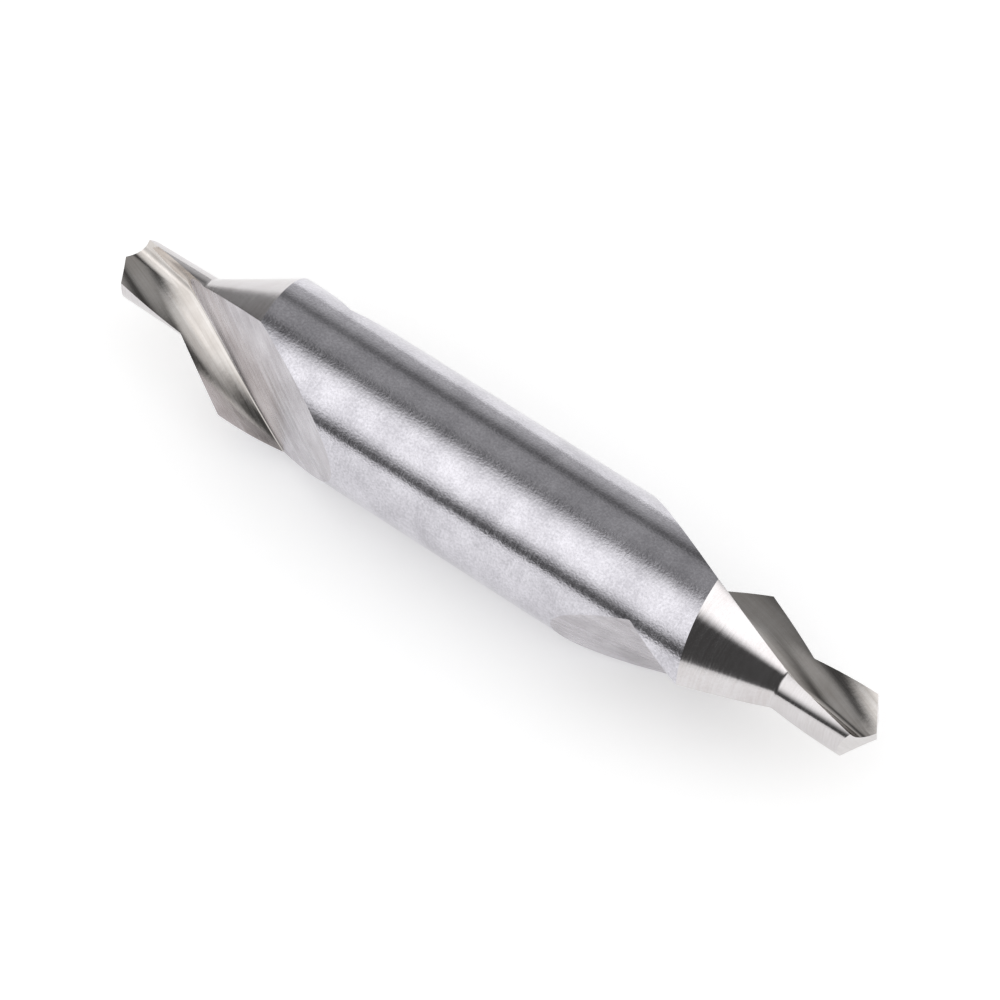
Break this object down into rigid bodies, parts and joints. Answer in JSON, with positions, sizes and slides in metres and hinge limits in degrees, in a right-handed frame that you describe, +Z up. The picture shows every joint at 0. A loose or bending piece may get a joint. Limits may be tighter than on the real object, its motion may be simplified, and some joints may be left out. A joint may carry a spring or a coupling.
{
  "type": "centre drill",
  "caption": "Double-ended combined drill and countersink with a plain round shank, for centring work before turning.",
  "frame": {"origin": "middle of the drill, on its axis", "axes": "+X along the drill's axis, towards the end whose cutting edges stand nearly level; +Z up as the drill lies, +Y across it"},
  "size_m": [0.0636, 0.0112, 0.0112],
  "materials": {
    "ground_steel": "bright ground high-speed steel, satin on the shank and brighter on the ground ends and flutes"
  },
  "bodies": {
    "root": {"centre_drill": "ground_steel"}
  },
  "joints": []
}
